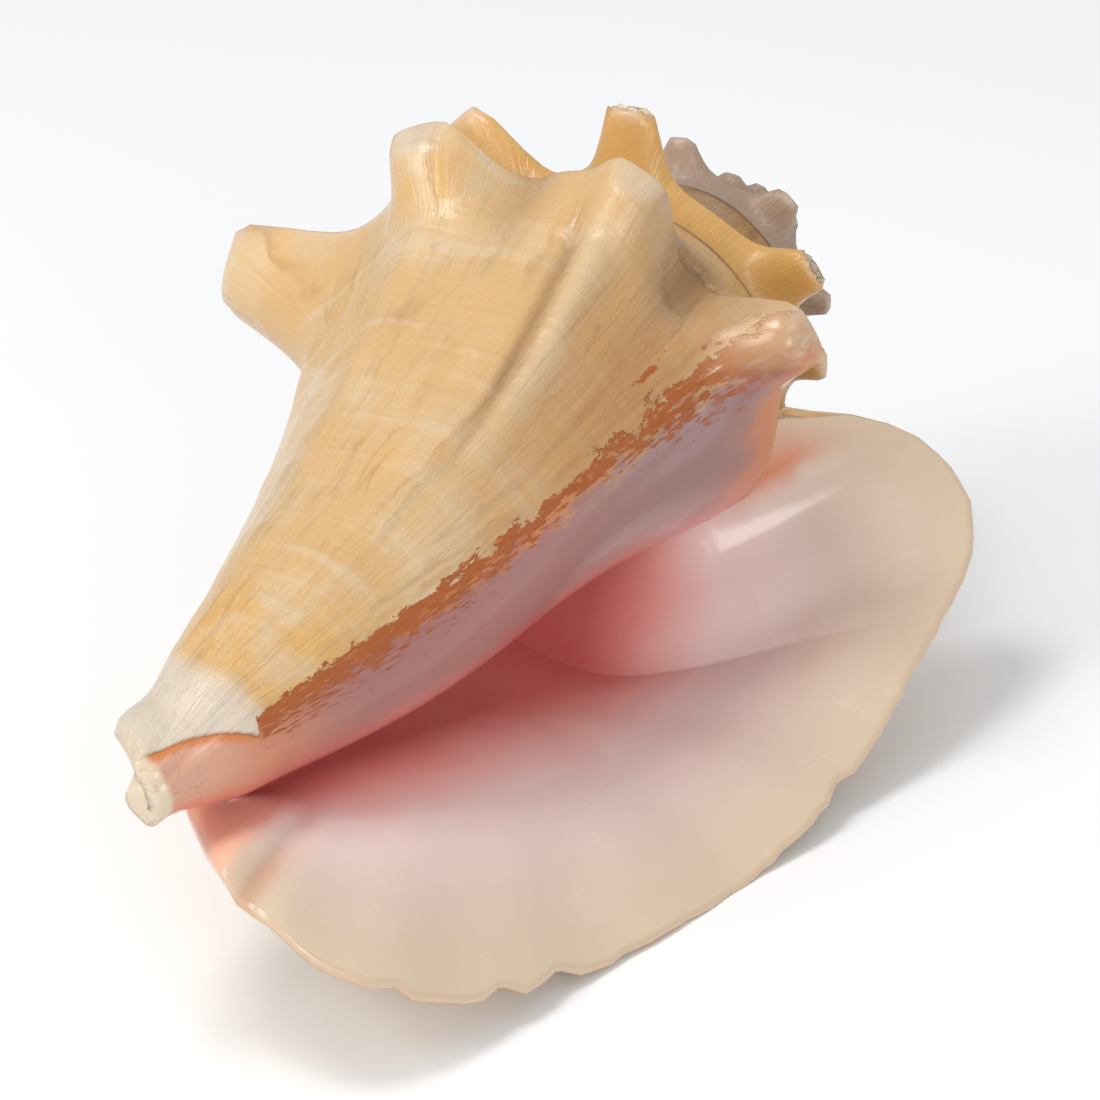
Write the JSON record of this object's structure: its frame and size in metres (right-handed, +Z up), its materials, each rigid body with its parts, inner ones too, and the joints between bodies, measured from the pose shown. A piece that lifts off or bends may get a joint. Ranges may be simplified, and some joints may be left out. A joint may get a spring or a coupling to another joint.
{
  "type": "conch shell",
  "caption": "Spiny spiral sea shell with a wide flared lip, lying on its back with its mouth upward.",
  "frame": {"origin": "centre of the outer box in plan, on the surface that the shell lies on", "axes": "+Z up; -Y towards the canal end and the side that the mouth is seen from; +X towards the lip"},
  "size_m": [0.1538, 0.197, 0.1171],
  "materials": {
    "shell": "satin"
  },
  "bodies": {
    "root": {"shell": "shell"}
  },
  "joints": []
}
